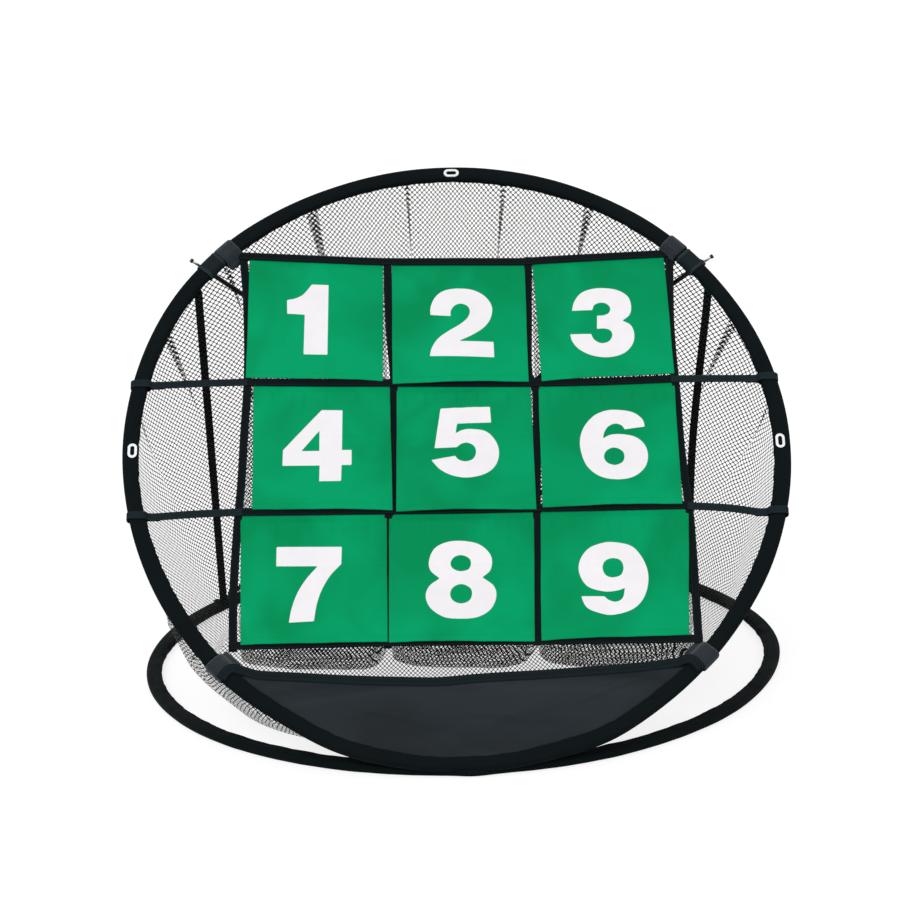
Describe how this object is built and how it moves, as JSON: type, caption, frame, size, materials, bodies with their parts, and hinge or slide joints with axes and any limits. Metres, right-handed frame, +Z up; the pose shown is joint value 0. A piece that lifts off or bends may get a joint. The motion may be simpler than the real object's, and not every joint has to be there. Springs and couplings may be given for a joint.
{
  "type": "golf chipping net",
  "caption": "Folding practice net for chipping: a leaning spring hoop holds a grid of numbered ball flaps with pockets, over a ground ring with crossed poles and a net bag.",
  "frame": {"origin": "centre of the ground ring, on the ground", "axes": "+Z up, +X to the player's right, +Y away from the player, from the hinge to the rear"},
  "size_m": [0.8, 0.8008, 0.6067],
  "materials": {
    "sleeve": "woven polyester, matt",
    "webbing": "ribbed webbing, matt",
    "spring_steel": "drawn wire",
    "corner_tape": "napped hook and loop",
    "keeper_tape": "bound nylon",
    "net": "open knotless mesh",
    "pocket_mesh": "fine mesh",
    "green_fabric": "smooth coated polyester",
    "apron_nylon": "creased nylon",
    "eyelet_metal": "blackened, satin",
    "pin_steel": "bright",
    "pole_black": "glass fibre rod, satin",
    "black_plastic": "moulded"
  },
  "bodies": {
    "base": {"base_hoop_wire": "spring_steel", "base_wire_ferrule": "spring_steel", "base_hoop_sleeve": "sleeve", "hinge_binding": "webbing", "pole_pad_left": "keeper_tape", "pole_pad_right": "keeper_tape", "stay_left": "webbing", "stay_right": "webbing"},
    "front": {"front_hoop_wire": "spring_steel", "front_wire_ferrule": "spring_steel", "front_hoop_sleeve": "sleeve", "eyelets": "eyelet_metal", "apron": "apron_nylon", "apron_binding": "webbing", "frame_strap_left": "webbing", "frame_strap_mid_left": "webbing", "frame_strap_mid_right": "webbing", "frame_strap_right": "webbing", "frame_strap_top": "webbing", "frame_strap_upper": "webbing", "frame_strap_lower": "webbing", "frame_strap_bottom": "webbing", "corner_strap_tl": "corner_tape", "corner_strap_tr": "corner_tape", "corner_strap_bl": "corner_tape", "corner_strap_br": "corner_tape", "pocket_1": "pocket_mesh", "pocket_2": "pocket_mesh", "pocket_3": "pocket_mesh", "pocket_4": "pocket_mesh", "pocket_5": "pocket_mesh", "pocket_6": "pocket_mesh", "pocket_7": "pocket_mesh", "pocket_8": "pocket_mesh", "pocket_9": "pocket_mesh", "pole_keeper_left": "keeper_tape", "pole_keeper_right": "keeper_tape", "pole_eye_left": "eyelet_metal", "pole_eye_right": "eyelet_metal", "net_bag": "net"},
    "pole_left": {"pole_left_rod": "pole_black", "pole_left_pin": "pin_steel", "pole_left_cap": "black_plastic", "pole_left_swivel": "black_plastic", "pole_left_foot": "black_plastic"},
    "pole_right": {"pole_right_rod": "pole_black", "pole_right_pin": "pin_steel", "pole_right_cap": "black_plastic", "pole_right_swivel": "black_plastic", "pole_right_foot": "black_plastic"},
    "flap_1": {"flap_1": "green_fabric"},
    "flap_2": {"flap_2": "green_fabric"},
    "flap_3": {"flap_3": "green_fabric"},
    "flap_4": {"flap_4": "green_fabric"},
    "flap_5": {"flap_5": "green_fabric"},
    "flap_6": {"flap_6": "green_fabric"},
    "flap_7": {"flap_7": "green_fabric"},
    "flap_8": {"flap_8": "green_fabric"},
    "flap_9": {"flap_9": "green_fabric"}
  },
  "joints": [
    {"name": "front_hoop_fold", "type": "hinge", "parent": "base", "child": "front", "pos_m": [0, -0.39, 0.0144], "axis": [-1, 0, 0], "range_deg": [0, 42], "deforming": ["net_bag", "stay_left", "stay_right"]},
    {"name": "pole_left_swing", "type": "hinge", "parent": "front", "child": "pole_left", "pos_m": [-0.30264, 0.06545, 0.50111], "axis": [0.8916, -0.0857, -0.4446], "range_deg": [0, 109.3]},
    {"name": "pole_right_swing", "type": "hinge", "parent": "front", "child": "pole_right", "pos_m": [0.31802, 0.05313, 0.48765], "axis": [0.9093, 0.0834, 0.4077], "range_deg": [0, 108]},
    {"name": "flap_1_swing", "type": "hinge", "parent": "front", "child": "flap_1", "pos_m": [-0.16283, 0.05124, 0.5041], "axis": [0.9997, -0.0176, -0.0193], "range_deg": [-70, 18]},
    {"name": "flap_2_swing", "type": "hinge", "parent": "front", "child": "flap_2", "pos_m": [0.01376, 0.04812, 0.5007], "axis": [0.9997, -0.0176, -0.0193], "range_deg": [-70, 18]},
    {"name": "flap_3_swing", "type": "hinge", "parent": "front", "child": "flap_3", "pos_m": [0.19035, 0.04501, 0.49729], "axis": [0.9997, -0.0176, -0.0193], "range_deg": [-70, 18]},
    {"name": "flap_4_swing", "type": "hinge", "parent": "front", "child": "flap_4", "pos_m": [-0.16749, -0.06929, 0.37252], "axis": [0.9997, -0.0176, -0.0193], "range_deg": [-70, 18]},
    {"name": "flap_5_swing", "type": "hinge", "parent": "front", "child": "flap_5", "pos_m": [0.0091, -0.0724, 0.36912], "axis": [0.9997, -0.0176, -0.0193], "range_deg": [-70, 18]},
    {"name": "flap_6_swing", "type": "hinge", "parent": "front", "child": "flap_6", "pos_m": [0.18569, -0.07552, 0.36571], "axis": [0.9997, -0.0176, -0.0193], "range_deg": [-70, 18]},
    {"name": "flap_7_swing", "type": "hinge", "parent": "front", "child": "flap_7", "pos_m": [-0.17193, -0.18408, 0.2472], "axis": [0.9997, -0.0176, -0.0193], "range_deg": [-70, 18]},
    {"name": "flap_8_swing", "type": "hinge", "parent": "front", "child": "flap_8", "pos_m": [0.00466, -0.18719, 0.2438], "axis": [0.9997, -0.0176, -0.0193], "range_deg": [-70, 18]},
    {"name": "flap_9_swing", "type": "hinge", "parent": "front", "child": "flap_9", "pos_m": [0.18125, -0.19031, 0.2404], "axis": [0.9997, -0.0176, -0.0193], "range_deg": [-70, 18]}
  ],
  "couplings": [
    {"joint": "pole_left_swing", "follows": "front_hoop_fold", "ratio": 2.6005},
    {"joint": "pole_right_swing", "follows": "front_hoop_fold", "ratio": 2.5684}
  ]
}
